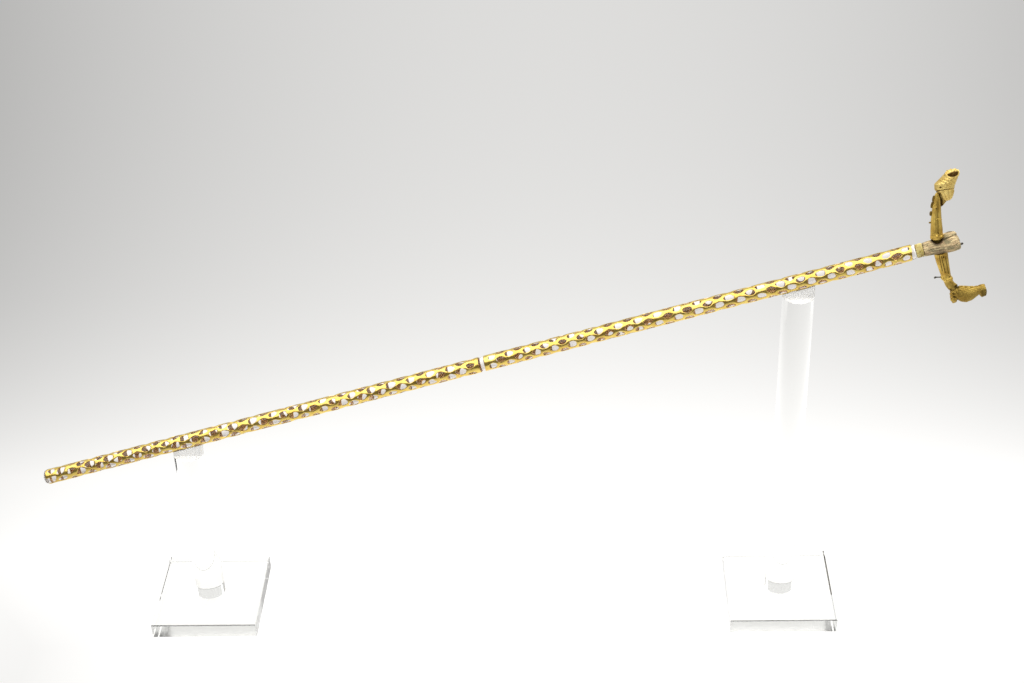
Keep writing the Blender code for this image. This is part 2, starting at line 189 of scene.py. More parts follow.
def dressed(name, points, faces, material, replaced, sharp=40, paint=None, second=None):
    """A mesh piece in metres, smooth but for edges over sharp degrees, riding on the one body.

    paint is point attributes by name.  second is another material and, for every face, whether it
    wears that one.
    """
    mesh = bpy.data.meshes.new(name)
    mesh.from_pydata(points.tolist(), [], faces)
    mesh.shade_smooth()
    mesh.set_sharp_from_angle(angle=math.radians(sharp))
    for attribute, values in (paint or {}).items():
        layer = mesh.attributes.new(attribute, "FLOAT", "POINT")
        layer.data.foreach_set("value", np.asarray(values, np.float32).ravel())
    mesh.materials.append(material)
    if second:
        mesh.materials.append(second[0])
        mesh.polygons.foreach_set("material_index", np.asarray(second[1], np.int32))
    made = bpy.data.objects.new(name, mesh)
    bpy.context.scene.collection.objects.link(made)
    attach(made, "root")
    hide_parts(*replaced)


def post_rings(seat_height, bottom):
    """Rings of a post about its own centre line, in mm.

    A ring is a circle up to the shoulder, and above it the same circle with its depth held within
    the tongue.  On top the ring shrinks to the middle, at the height of the seat there: the lower
    of the slanted cut and the groove.
    """
    flat = math.asin(HALF_TONGUE / POST_RADIUS)
    spans = ((-flat, flat, 16), (flat, math.pi - flat, 40))
    half = np.concatenate([np.linspace(*span, endpoint=False) for span in spans])
    angle = np.concatenate([half, half + math.pi])
    bar = np.stack([np.cos(angle), np.sin(angle)], axis=1) * POST_RADIUS
    tongue = np.clip(bar, (-POST_RADIUS, -HALF_TONGUE), (POST_RADIUS, HALF_TONGUE))

    def seat(outline):
        across, depth = outline.T
        groove = -np.sqrt(np.clip(GROOVE_RADIUS ** 2 - depth ** 2, 0, None))
        groove = np.where(abs(depth) < GROOVE_RADIUS, groove, 0)
        cut = np.minimum(SEAT_RISE, groove) / math.cos(SLOPE)
        return seat_height + across * math.tan(SLOPE) + cut

    shoulder = seat_height - SHOULDER_BELOW_AXIS
    levels = [
        (bar * (1 - POST_EDGE / POST_RADIUS), bottom),
        *[(bar, bottom + above) for above in (POST_EDGE, PLAIN_BAR)],
        *[(bar, shoulder - below) for below in (PLAIN_BAR, POST_EDGE / 2)],
        (tongue + (bar - tongue) * SHOULDER_SHARE, shoulder),
        *[(tongue, shoulder + above) for above in (0, POST_EDGE)],
        *[(tongue * share, seat(tongue * share)) for share in SEAT_SHARES],
    ]
    return np.stack([np.column_stack([outline, height * np.ones(len(bar))])
                     for outline, height in levels])


post_acrylic = acrylic_finish("polished_acrylic_bar", TURNED_ACRYLIC, *POST_RIPPLE)
satin_acrylic, _, _ = new_finish("milled_acrylic_left_satin", {
    "Base Color": linear(MILLED_ACRYLIC),
    "Transmission Weight": 0.1,
    "IOR": ACRYLIC_IOR,
    "Roughness": 0.6,
})
for side in ("left", "right"):
    post_x = sum(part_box(f"foot_plate_{side}"), Vector()).x / 2
    seat_height = AXIS_START.z + (post_x - AXIS_START.x) * math.tan(SLOPE)
    rings = post_rings(seat_height / MM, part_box(f"post_{side}")[0].z / MM) * MM
    points, faces = closed_tube(rings + np.array([post_x, plate_centre.y, 0]))
    station = np.arange(len(faces)) // rings.shape[1]
    milled = (station >= FIRST_MILLED) & (station != len(rings) - 1)
    dressed(f"post_{side}_turned", points, faces, post_acrylic, [f"post_{side}"],
            25, second=(satin_acrylic, milled))


# --- Core rod ---
# Clear acrylic rod, sawn at its ends, that the thin gold was slid back onto when the sceptre was
# mounted.  It bends light like a lens, so the far side of the sheath shows through the near
# openings, turned over.

ROD_RADIUS = 4.9
ROD_ENDS = (-114.08, 536.8)
ROD_EDGE = ((0.0, 0.8), (0.2, 0.24), (0.8, 0.0))
ROD_SIDES = 128
ROD_RIPPLE = (12, 0.01)
ROD_ACRYLIC = "#fbf6f2"


def on_sceptre(points):
    """World places in metres of sceptre places (along, depth, rise) in mm."""
    directions = np.array([
        [math.cos(SLOPE), 0, math.sin(SLOPE)],
        [0, 1, 0],
        [-math.sin(SLOPE), 0, math.cos(SLOPE)],
    ])
    return np.array(AXIS_START) + points * MM @ directions


def full_turn(sides):
    """Angles of the sides of one turn, in radians."""
    return np.linspace(0, 2 * math.pi, sides, endpoint=False)


def turned(profile, sides):
    """Rings about the sceptre's axis of a profile of (along, radius) points, in mm."""
    along, radius = np.array(profile, float).T[..., None]
    angle = full_turn(sides)
    places = (along, -radius * np.cos(angle), -radius * np.sin(angle))
    return np.stack(np.broadcast_arrays(*places), axis=-1)


rod_low, rod_high = ROD_ENDS
rod_profile = [
    *[(rod_low + inward, ROD_RADIUS - under) for inward, under in ROD_EDGE],
    *[(along, ROD_RADIUS) for along in np.linspace(rod_low + 10, rod_high - 10, 24)],
    *[(rod_high - inward, ROD_RADIUS - under) for inward, under in ROD_EDGE[::-1]],
]
points, faces = closed_tube(turned(rod_profile, ROD_SIDES))
station = np.arange(len(faces)) // ROD_SIDES
sawn = (station < 2) | (station >= len(rod_profile) - 3)
rod_finish = acrylic_finish("cast_acrylic_rod", ROD_ACRYLIC, *ROD_RIPPLE)
dressed("core_rod_clear", on_sceptre(points), faces, rod_finish, ["core_rod"], 60,
        second=(satin_acrylic, sawn))


# --- Pierced sheaths ---
# Two tubes of thin hammered gold sheet, pierced all over with a staggered net of openings and
# rolled round the staff.  The punched edges dip inward; the inside is brown with old tarnish, drawn
# in a tarnished tone nearly as pale as the gold, as painted light for what the openings let in.

SHEATH_RADIUS = 5.55
WALL = 0.25
COLUMNS = 10
COLUMN_TURN = 2 * math.pi / COLUMNS
EDGE_POINTS = 8
OPENING_RINGS = 3
OPENING_LIMITS = (0.2, 0.9)
RIM_BEYOND = 0.35
EDGE_DIP = 0.16
DENT = 0.05
GOLD_PATCH = 7
GRIME_SPOT = 1.3
WEAR_SPOT = 2.2
# A sheet is its light, deep and tarnished colour, gloss, dents and how metallic it is.  The
# sheath's tarnished colour is nearly as pale as its gold, painted light on the inside.
SHEATH_SHEET = ("#e2c86e", "#d4b358", "#e7bf88", (0.14, 0.30), (2.6, 0.12), 1.0)


def gold_finish(name, light, deep, tarnish_and_shading_colour, gloss, dents, metallic):
    """Hammered gold: patchy colour, uneven gloss, shallow dents, tarnished tone, painted shading.

    gloss is the least and most roughness, dents are a size and height in mm, and fine dust makes a
    sheet less metallic.  The tarnished tone follows a point attribute, 0 in the open and 1 inside
    or in a deep recess; on the arms it also paints shade in hollows, creases and holes, and on the
    sheath's pale inside it stands in as painted light.
    """
    made, shader, add = new_finish(name, {"Metallic": metallic})
    patches, grime, wear, hammering = (
        add("TexNoise", {"Scale": 1.0, "Detail": detail, "Roughness": rough},
            {"Vector": object_place(add, size)})
        for size, detail, rough in ((GOLD_PATCH, 4.0, 0.5), (GRIME_SPOT, 5.0, 0.5),
                                    (WEAR_SPOT, 4.0, 0.5), (dents[0], 2.0, 0.4)))
    patch_share = add("MapRange", {"From Min": 0.38, "From Max": 0.68}, {"Value": patches})
    gold = add("Mix", {"data_type": "RGBA", 6: linear(light), 7: linear(deep)},
               {"Factor": patch_share})
    # The point attribute is a tarnished tone and painted shading, added to a random grime.
    sheltered = add("Attribute", {"attribute_name": "sheltered"})
    grime_edge = add("Math", {"operation": "MULTIPLY_ADD", 1: 0.5, 2: -0.25}, {0: grime})
    grime_and_shading = add("Math", {"operation": "ADD", "use_clamp": True},
                      {0: sheltered.outputs["Fac"], 1: grime_edge})
    colour = add("Mix", {"data_type": "RGBA", 7: linear(tarnish_and_shading_colour)},
                 {"Factor": grime_and_shading, 6: gold.outputs[2]})
    roughness = add("MapRange",
                    {"From Min": 0.3, "From Max": 0.7, "To Min": gloss[0], "To Max": gloss[1]},
                    {"Value": wear})
    dull = add("Math", {"operation": "MULTIPLY_ADD", 1: 0.35}, {0: grime_and_shading, 2: roughness})
    bump = add("Bump", {"Distance": dents[1] * MM}, {"Height": hammering})
    feed(shader, {"Base Color": colour.outputs[2], "Roughness": dull, "Normal": bump})
    return made


def knotted(place, knots):
    """Value at a place, read by straight lines from knots of (place, value)."""
    return np.interp(place, *np.array(knots, float).T)


def net_cells(rows, half_size, ragged, sizes, draw):
    """Lattice places (row, column) of the net's outer faces, as corner places of every quad.

    Openings stand where row plus column is even, each in a diamond cell one row and one column to
    each side, so that the cells tile the tube.  A cell is rings of points from the opening's edge
    to its own.  The opening is an ellipse of half_size, in rows and columns, made ragged and held
    within the cell so that a web is left.  sizes is knots of (row, share of that size).
    """
    row, column = np.nonzero((np.arange(rows)[:, None] + np.arange(COLUMNS)) % 2 == 0)
    middles = np.stack([row, column], axis=1).astype(float)
    corners = np.array([(1, 0), (0, 1), (-1, 0), (0, -1), (1, 0)], float)
    share = np.arange(4 * EDGE_POINTS) / EDGE_POINTS
    cell_edge = np.stack([np.interp(share, np.arange(5), corner) for corner in corners.T], axis=1)
    direction = np.arctan2(cell_edge[:, 1], cell_edge[:, 0])
    reach = 1 / np.hypot(*(cell_edge / half_size).T)
    waves = np.arange(2, 6)
    swing = draw.normal(0, ragged, (len(middles), len(waves), 1)) / waves[:, None] * 2
    phase = draw.uniform(0, 2 * math.pi, (len(middles), len(waves), 1))
    uneven = (swing * np.cos(waves[:, None] * direction + phase)).sum(axis=1)
    size = knotted(row, sizes)[:, None] + draw.normal(0, ragged, (len(middles), 1))
    reach = np.clip(reach * (size + uneven), *OPENING_LIMITS)
    opening_edge = cell_edge * reach[..., None]
    steps = np.linspace(0, 1, OPENING_RINGS + 1)[:, None, None]
    rings = opening_edge[:, None] * (1 - steps) + cell_edge * steps + middles[:, None, None]
    inner, outer = rings[:, :-1], rings[:, 1:]
    quads = [inner, outer, np.roll(outer, -1, axis=2), np.roll(inner, -1, axis=2)]
    return np.stack(quads, axis=3).reshape(-1, 4, 2)


def grid_quads(grid):
    """The four corners of every quad of a grid (row, column, value)."""
    quads = np.stack([grid[:-1, :-1], grid[1:, :-1], grid[1:, 1:], grid[:-1, 1:]], axis=2)
    return quads.reshape(-1, 4, grid.shape[2])


def rim_strip(rows, rim, first):
    """Corner places of the quads between the zig-zag edge of the end cells and a straight rim."""
    column = np.arange(COLUMNS * EDGE_POINTS + 1) / EDGE_POINTS
    parity = 0 if first else rows - 1
    into_cell = abs((column + parity + 1) % 2 - 1)
    edge = into_cell - 1 if first else rows - into_cell
    steps = np.linspace(0, 1, 4)[:, None]
    row = rim * (1 - steps) + edge * steps if first else edge * (1 - steps) + rim * steps
    return grid_quads(np.stack(np.broadcast_arrays(row, column), axis=-1))


def sheet_net(quads, to_tube):
    """Closed thin sheet from lattice quads: points in mm, faces, and which points are inside.

    Equal lattice places become one point.  to_tube gives along, angle and the rise off the mean
    radius.  The inner surface is the outer one, one wall nearer the axis, and a wall face stands on
    every outer edge that no second face shares.
    """
    places = quads.reshape(-1, 2) * 1e4
    keys = np.stack([np.round(places[:, 0]), np.round(places[:, 1]) % (COLUMNS * 1e4)], axis=1)
    unique, index = np.unique(keys, axis=0, return_inverse=True)
    faces = index.reshape(-1, 4)
    along, angle, rise = to_tube(*(unique / 1e4).T)
    start, end = faces.ravel(), np.roll(faces, -1, axis=1).ravel()
    count = len(unique)
    open_edge = ~np.isin(start * count + end, end * count + start)
    start, end = start[open_edge], end[open_edge]
    on_edge = np.zeros(count)
    on_edge[start] = 1
    radius = SHEATH_RADIUS + rise - EDGE_DIP * on_edge

    def surface(radius):
        return np.stack([along, -radius * np.cos(angle), radius * np.sin(angle)], axis=1)

    walls = np.stack([end, start, start + count, end + count], axis=1)
    points = np.concatenate([surface(radius), surface(radius - WALL)])
    every_face = np.concatenate([faces, faces[:, ::-1] + count, walls])
    return points, every_face.tolist(), np.repeat((0.0, 1.0), count)


def soft_dents(along, angle, draw):
    """Low hills and hollows of a sheet shaped by hand: a sum of long waves over the tube."""
    waves = [(draw.uniform(0.02, 0.2), turns, draw.uniform(0, 6.3)) for turns in (1, 2, 3, 1, 2, 4)]
    total = sum(np.sin(rate * along + turns * angle + phase) for rate, turns, phase in waves)
    return total / len(waves)


# Each sheath's opening (half its length, half its width, how ragged it is), drift in knots of
# (row, along), turn in knots of (row, degrees), sizes in knots of (row, share), seeds of its net
# and of its dents, and slanting rims.  The lower one's long openings wind slowly round the rod;
# the upper one's are rounder and more even, and both its ends are cut slightly slanting.
SHEATHS = {
    "lower": (
        (3.55, 2.4, 0.08),
        ((-1.35, -112.1), (-0.55, -111.3), (0, -107.5), (2, -91.1), (19, 38.7), (26, 93.9),
         (43, 220.8), (43.75, 226.3), (44.35, 226.8)),
        ((0, 75), (1, 97), (3, 118), (7, 134), (12, 123), (16, 145), (23, 176), (27, 213),
         (31, 236), (38, 236), (40, 251), (43, 223)),
        ((0, 1), (1, 1), (2, 0.82), (3, 1), (5, 1), (6, 1.18), (7, 1), (42, 1), (43, 0.82)),
        (3, 5),
        (),
    ),
    "upper": (
        (3.2, 2.15, 0.05),
        ((-1.35, 230.2), (-0.85, 230.9), (0, 236.7), (11, 308.4), (22, 385.9), (28, 430.7),
         (35, 479.2), (43, 530.3), (43.55, 533.4), (44.35, 533.9)),
        ((0, 67), (1, 69), (3, 56), (9, 41), (13, 57), (15, 54), (19, 70), (25, 88), (27, 84),
         (31, 42), (34, 54), (37, 36), (40, 16), (42, 33), (43, 35)),
        ((0, 1), (43, 1)),
        (4, 8),
        ((230.2, 0.9, 0.6), (533.9, 0.85, 0.0)),
    ),
}
SLANT_LENGTH = 5.0
TEAR_RIM = -112.1
TEAR_TURN = math.radians(-8)
TEAR_HALF = math.radians(30)
TEAR_DEPTH = 6.8


def rolled(drift, turn, seed, slants):
    """The tube that a net is rolled to: its along, angle and rise as a function of row and column.

    A slant is where its rim stands, how far that rim leans along the tube, and the angle where
    it starts.
    """
    def to_tube(row, column):
        along = knotted(row, drift)
        angle = np.radians(knotted(row, turn)) + column * COLUMN_TURN
        leans = [lean * np.sin(angle + lean_from) * np.exp(-abs(along - rim) / SLANT_LENGTH)
                 for rim, lean, lean_from in slants]
        rise = DENT * soft_dents(along, angle, np.random.default_rng(seed))
        return along + sum(leans), angle, rise
    return to_tube


def torn_away(along, angle):
    """True in the corner torn off the lower end: half an ellipse on the rim, its edge waved."""
    turn = (angle - TEAR_TURN + math.pi) % (2 * math.pi) - math.pi
    depth = TEAR_DEPTH * np.sqrt(np.clip(1 - (turn / TEAR_HALF) ** 2, 0, 1))
    return along < TEAR_RIM + depth * (1 + 0.10 * np.sin(21 * turn))


sheath_gold = gold_finish("hammered_gold_sheet", *SHEATH_SHEET)
for side, (opening, drift, turn, sizes, seeds, slants) in SHEATHS.items():
    to_tube = rolled(drift, turn, seeds[1], slants)
    (first_rim, lowest), (last_rim, highest) = drift[0], drift[-1]
    rows = round(last_rim - RIM_BEYOND)
    half_length, half_width, ragged = opening
    half_size = np.array([half_length * rows / (highest - lowest),
                          half_width / (SHEATH_RADIUS * COLUMN_TURN)])
    quads = np.concatenate([
        net_cells(rows, half_size, ragged, sizes, np.random.default_rng(seeds[0])),
        rim_strip(rows, first_rim, True),
        rim_strip(rows, last_rim, False),
    ])
    if side == "lower":
        along, angle, _ = to_tube(*quads.mean(axis=1).T)
        quads = quads[~torn_away(along, angle)]
    points, faces, inside = sheet_net(quads, to_tube)
    # The inner faces get the full tarnished tone, pale as painted light.
    dressed(f"sheath_{side}_net", on_sceptre(points), faces, sheath_gold,
            [f"sheath_{side}"], 50, {"sheltered": inside})


# --- Collar ---
# Short plug of aged yellow resin that bonds the rod to the wood fragment.  Cast in place and
# pared round by hand, so its sides are a little uneven and its surface is waxy, not glossy.

COLLAR_RADIUS = 4.8
COLLAR_ENDS = (537.1, 541.9)
PARED_FLATS = 5
PARED_SHARE = 0.02
RESIN_CLOUD = 3
RESIN_PITS = (0.8, 0.12)
RESIN_LIGHT = "#d6c782"
RESIN_DEEP = "#a18b42"


def resin_finish(name):
    """Aged resin: cloudy yellow to olive in patches of about 3 mm, waxy, finely pitted."""
    made, shader, add = new_finish(name, {
        "Subsurface Weight": 0.3,
        "Subsurface Radius": (0.9, 0.6, 0.3),
        "Subsurface Scale": 1.5 * MM,
    })
    clouds, pits = (
        add("TexNoise", {"Scale": 1.0, "Detail": detail}, {"Vector": object_place(add, size)})
        for size, detail in ((RESIN_CLOUD, 5.0), (RESIN_PITS[0], 3.0)))
    share = add("MapRange", {"From Min": 0.35, "From Max": 0.65}, {"Value": clouds})
    colour = add("Mix", {"data_type": "RGBA", 6: linear(RESIN_LIGHT), 7: linear(RESIN_DEEP)},
                 {"Factor": share})
    gloss = add("MapRange", {"To Min": 0.4, "To Max": 0.65}, {"Value": clouds})
    bump = add("Bump", {"Distance": RESIN_PITS[1] * MM}, {"Height": pits})
    feed(shader, {"Base Color": colour.outputs[2], "Roughness": gloss, "Normal": bump})
    return made


def ridge(distance, width):
    """Rounded ridge: 1 on its line, falling away over its width."""
    return np.exp(-(distance / width) ** 2)


low, high = COLLAR_ENDS
station = np.linspace(0, 1, 30)
rounded = 1 - 0.10 * ridge(station, 0.06) - 0.03 * ridge(station - 1, 0.06)
profile = np.column_stack([low + (high - low) * station, COLLAR_RADIUS * rounded])
rings = turned(profile, 64)
angle = np.arctan2(rings[..., 2], rings[..., 1])
pared = 1 - PARED_SHARE * (1 + np.sin(PARED_FLATS * angle + 9 * station[:, None])) / 2
rings[..., 1:] *= pared[..., None]
points, faces = closed_tube(rings)
dressed("collar_resin", on_sceptre(points), faces, resin_finish("aged_cast_resin"),
        ["head_collar"])


# --- Wood fragment ---
# What is left of the staff's wooden head: dry, shrunken and split along its grain, with a socket
# for each arm, a layer lifting as a splinter and dark cracks, painted shadow round the sockets
# under the arms and painted shade along the layer's top edge.  A place on its front is (along,
# seen), where seen is the rise at which an eye that looks down a little finds it.

WOOD = (
    (542.2, 4.5, 542.2, -4.5, 4.5), (545.5, 4.9, 545.5, -4.8, 4.8), (550.0, 5.0, 550.0, -5.2, 5.2),
    (555.0, 5.4, 555.0, -5.8, 5.7), (557.5, 6.6, 557.5, -6.2, 6.2), (561.5, 7.0, 561.5, -6.4, 6.4),
    (564.5, 6.2, 565.0, -6.2, 5.8), (566.4, 2.6, 566.6, -5.0, 4.3),
)
ARM_ALONG = 552.5
UPPER_SOCKET = (3.5, 2.7)
LOWER_SOCKET = (5.2, -4.4)
LOOK_DOWN = 0.66
SLIT_PLACE = (556.9, 3.9)
SLIT_CLIMB = 0.13
SLIT_ENDS = (555.5, 563.2)
SLIT_WIDTH = 0.24
LAYER_FROM = 556.5
SPLINTER_SHADE_ENDS = (558.2, 565.4)
SPLINTER_SHADE_SEEN = 7.0
CHIP = (565.2, 4.7)
WOOD_PALE = "#e3cf9f"
WOOD_PINK = "#c0a37e"
WOOD_GREY = "#958a6a"
# The darkest colour, for the cracks and for painted shadow and shade.
WOOD_DIRT_AND_SHADE = "#3a241a"


def loft(sections, stations, sides, corner=0.6, dome=(0, 0)):
    """Rings of a skin through sections, in mm; side 0 is on the second outline.

    A section is its two outline points, each along and rise, and half its depth.  They are read
    along the loft by straight lines, then averaged over the corner's width.  dome closes an end
    over that length, as a quarter of an ellipse.
    """
    table = np.array(sections, float)
    steps = abs(np.diff(table, axis=0)).max(axis=1)
    knots = np.concatenate([[0], np.cumsum(steps)])
    travel = np.linspace(0, knots[-1], stations)
    spread = 2 * int(corner * stations / knots[-1] / 2) + 1
    kernel = np.hanning(spread + 2)[1:-1]
    values = []
    for column in table.T:
        padded = np.pad(np.interp(travel, knots, column), spread // 2, mode="edge")
        values.append(np.convolve(padded, kernel / kernel.sum(), mode="valid"))
    one, other, half_depth = np.array(values[0:2]), np.array(values[2:4]), values[4]
    for distance, length in ((travel, dome[0]), (knots[-1] - travel, dome[1])):
        if length:
            kept = np.sqrt(1 - 0.98 * np.clip(1 - distance / length, 0, 1) ** 2)
            half_depth = half_depth * kept
            drawn_in = (other - one) * (1 - kept) / 2
            one, other = one + drawn_in, other - drawn_in
    angle = full_turn(sides)
    level = 0 * travel
    reach, centre, depth = (
        np.stack(way, axis=-1)[:, None] for way in (
            ((other - one)[0] / 2, level, (other - one)[1] / 2),
            ((other + one)[0] / 2, level, (other + one)[1] / 2),
            (level, half_depth, level)))
    travel_way = centre[-1, 0] - centre[0, 0]
    handed = np.sign(np.dot(np.cross((0, 1, 0), travel_way), reach.mean(axis=(0, 1)))) or 1
    return centre + reach * np.cos(angle)[:, None] + depth * handed * np.sin(angle)[:, None]


def outward(rings):
    """Unit directions out of a grid of rings, from its own steps round and along."""
    around = np.roll(rings, -1, axis=1) - np.roll(rings, 1, axis=1)
    normal = np.cross(around, np.gradient(rings, axis=0))
    return normal / np.maximum(np.linalg.norm(normal, axis=2, keepdims=True), 1e-9)


def raised(rings, height):
    """The grid of rings moved out along its own normals by a height in mm."""
    return rings + outward(rings) * height[..., None]


def read_places(rings):
    """Along, depth and rise over a grid of rings, and the rise at which each place is seen."""
    along, depth, rise = np.moveaxis(rings, -1, 0)
    return along, depth, rise, rise + LOOK_DOWN * depth


def ramp(value, start, length):
    """0 up to the start, then a straight climb to 1 over the length; a negative one falls to 0."""
    return np.clip((value - start) / length, 0, 1)


def between(value, ends, climb, fall):
    """1 between two ends, with a straight climb after the first and a fall before the last."""
    return ramp(value, ends[0], climb) * ramp(value, ends[1], -fall)


def off(along, seen, place, size):
    """Distance from a place, counted in its size, or in its length and height."""
    length, height = np.broadcast_to(size, 2)
    return np.hypot((along - place[0]) / length, (seen - place[1]) / height)


def wood_finish(name):
    """Old dry wood: grain streaks 6 mm long and 0.5 mm wide in pale, pink and grey, and dark
    places.

    A point attribute is 1 where the wood is darkened: in the cracks, slit and chip, painted shadow
    round the sockets and painted shade along the lifting layer's edge; it is 0 on the open grain.
    """
    made, shader, add = new_finish(name, {"Specular IOR Level": 0.25})
    grain, patches, fibres = (
        add("TexNoise", {"Scale": 1.0, "Detail": detail, "Roughness": rough},
            {"Vector": object_place(add, size, (0, -SLOPE, 0))})
        for size, detail, rough in (((6, 0.9, 0.9), 6.0, 0.6), ((5, 3, 3), 3.0, 0.5),
                                    ((3, 0.35, 0.35), 5.0, 0.65)))
    grain_share = add("MapRange", {"From Min": 0.4, "From Max": 0.6}, {"Value": grain})
    patch_share = add("MapRange", {"From Min": 0.45, "From Max": 0.62}, {"Value": patches})
    streaks = add("Mix", {"data_type": "RGBA", 6: linear(WOOD_PALE), 7: linear(WOOD_PINK)},
                  {"Factor": grain_share})
    weather = add("Mix", {"data_type": "RGBA", 7: linear(WOOD_GREY)},
                  {"Factor": patch_share, 6: streaks.outputs[2]})
    dirt = add("Attribute", {"attribute_name": "dirt"})
    colour = add("Mix", {"data_type": "RGBA", 7: linear(WOOD_DIRT_AND_SHADE)},
                 {"Factor": dirt.outputs["Fac"], 6: weather.outputs[2]})
    roughness = add("MapRange", {"To Min": 0.7, "To Max": 0.95}, {"Value": fibres})
    bump = add("Bump", {"Distance": 0.18 * MM}, {"Height": fibres})
    feed(shader, {"Base Color": colour.outputs[2], "Roughness": roughness, "Normal": bump})
    return made


rings = loft(WOOD, 170, 220, corner=1.2, dome=(0.2, 1.4))
along, depth, rise, seen = read_places(rings)
angle = np.arctan2(depth, -rise)
shrunk = 0.035 * np.sin(3 * angle + along / 3.7) + 0.025 * np.sin(5 * angle - along / 2.2)
grain = 0.13 * np.sin(19 * angle + 1.5 * np.sin(along / 3.1))
grain += 0.09 * np.sin(37 * angle - 1.2 * np.sin(along / 2.3))
checks = ridge(np.sin(3.5 * angle + 0.35 * np.sin(along / 5)), 0.05)
checks *= np.sin(along / 2.9 + 3 * angle) > 0
slit_line = seen - (SLIT_PLACE[1] + SLIT_CLIMB * (along - SLIT_PLACE[0]))
slit = ridge(slit_line, SLIT_WIDTH) * between(along, SLIT_ENDS, 0.8, 0.8)
slit *= (depth < 3) & (rise > 0)
layer = 0.45 * ramp(along, LAYER_FROM, 1.5) * ramp(slit_line, 0, 0.3) * (rise > 0)
# Painted shade along the top edge of the lifting layer.
splinter_edge_shade = ramp(seen, SPLINTER_SHADE_SEEN, 0.6) * between(along, SPLINTER_SHADE_ENDS, 1, 1)
chip = ridge(off(along, seen, CHIP, 0.9), 1)
height = 4.5 * shrunk + 0.8 * grain - 0.35 * checks - 0.9 * slit + layer - 0.3 * chip
dirt = 0.6 * checks + 0.8 * slit + 0.5 * splinter_edge_shade + 0.7 * chip
wood_rings = raised(rings, height)
along, depth, rise, _ = read_places(wood_rings)
# Sockets dug for the arms, with painted shadow round them where the arms hang over the wood.
for (radius, floor), way, arm_shadow in ((UPPER_SOCKET, 1, 0.95), (LOWER_SOCKET, -1, 0.55)):
    from_arm = np.hypot(along - ARM_ALONG, depth)
    arm_side = rise * way > 0
    dug = way * np.minimum(rise * way, floor * way)
    wood_rings[..., 2] = np.where((from_arm < radius) & arm_side, dug, rise)
    dirt += np.where(arm_side, arm_shadow * np.clip(1.15 - (from_arm - radius) / 1.6, 0, 1), 0)
points, faces = closed_tube(wood_rings)
dirt = np.append(np.clip(dirt, 0, 1), (0.5, 0.5))
dressed("wood_fragment", on_sceptre(points), faces, wood_finish("old_dry_wood"),
        ["wood_head"], 75, {"dirt": dirt})


# --- Upper arm ---
# A sleeve of fluted gold sheet with a crest of upright tabs along its left edge, and a pod-shaped
# head set on top of it.  Cut, chased and joined from sheet; satin, darker in the chasing, with
# painted shade in creases, holes and under rims, and painted highlights on beads and wire rings.

# The head's sheet is a lighter, rougher, less metallic copy of the arm's, painted light where the
# head catches more light; both third colours also paint shade.
ARM_SHEET = ("#e4c566", "#c09b45", "#4d3d12", (0.44, 0.60), (1.2, 0.10), 0.85)
HEAD_SHEET_PAINTED_LIGHTER = ("#f0d888", "#dcbc66", "#5e3f10", (0.50, 0.66), (1.2, 0.10), 0.75)
UPPER_NECK = (
    (549.6, 3.1, 555.4, 3.0, 2.9), (549.6, 5.4, 555.4, 4.2, 2.9), (548.2, 6.3, 556.9, 4.6, 4.3),
    (548.3, 8.2, 557.1, 7.2, 4.3), (548.7, 9.4, 557.0, 8.7, 4.0), (549.3, 12.6, 557.5, 12.0, 4.0),
    (551.1, 20.6, 558.2, 19.6, 3.6), (552.8, 26.6, 559.1, 26.2, 3.3),
    (554.3, 31.4, 560.0, 31.2, 3.1), (556.4, 36.4, 560.7, 36.0, 2.6),
    (557.4, 39.2, 560.2, 38.8, 1.6), (558.2, 40.6, 560.2, 40.2, 1.4),
)
UPPER_NECK_TILT = ((4.7, 0.0), (5.1, 0.85), (8.5, 0.85), (14.0, 0.0), (34.0, 0.0), (38.0, 0.6))
NECK_SIDES = 140
FLUTES = 7
FLUTE_DEPTH = 0.2
CHANNEL_SIDES = (0.28, 0.72)
CHANNEL_ENDS = (8, 37)
# Beads and pits: place, size, height and darkening; a bead's negative darkening is a painted
# highlight.
UPPER_MARKS = (
    ((552.5, 7.4), 0.6, 1.08, -1.8), ((555.3, 6.5), 0.6, 1.08, -1.8),
    ((554.1, 9.0), 0.6, -0.3, 0.7),
    ((556.1, 28.1), 0.6, -0.35, 0.5), ((555.9, 29.8), 0.6, 0.42, -0.7),
)
BINDING = (556.5, 19.8)
LEAF = (555.6, 28.8)
LEAF_HALF = (1.4, 3.2)
UPPER_CREST = ((12.7, 13.6), (18.4, 21.8), (24.2, 28.9), (29.0, 33.7))
CREST_HEIGHT = 1.3
CREST_THICKNESS = 1.2
UPPER_HEAD = (
    (563.2, 33.0, 566.6, 32.8, 1.6), (561.4, 35.6, 568.4, 35.4, 3.2),
    (560.7, 38.4, 569.6, 38.0, 4.1), (560.4, 40.1, 570.0, 39.5, 4.2),
    (558.8, 41.1, 570.5, 40.3, 4.6), (557.9, 43.2, 571.4, 42.6, 4.9),
    (558.4, 46.6, 572.6, 45.2, 4.8), (562.0, 49.2, 574.2, 47.6, 4.3),
    (565.6, 51.8, 575.6, 50.4, 4.2), (567.0, 53.2, 576.0, 52.4, 4.1),
    (567.5, 53.2, 575.4, 52.4, 3.7), (567.6, 51.6, 575.0, 50.6, 2.4),
    (567.6, 49.2, 573.6, 48.2, 1.4), (568.6, 48.4, 572.4, 47.8, 0.6),
)
UPPER_HEAD_TILT = ((33.0, 0.2), (36.0, 0.5), (46.0, 0.5), (49.5, 0.1), (52.6, -0.45))
LIP_RISE = 52.6
MOUTH_SINK = 1.2
SEAM = (564.4, 40.6)
SEAM_FALL = 0.155
LATTICE_STEP = 2.9
LATTICE_FROM = 562.5
LATTICE_TOP = 49.5
PETALS_FROM = 565.5
EYELET = (561.6, 43.3)
EYELET_RADIUS = 0.75
HEAD_CREASE_SHADE = (560.4, 38.8)
MOUTH_ALONG = 571
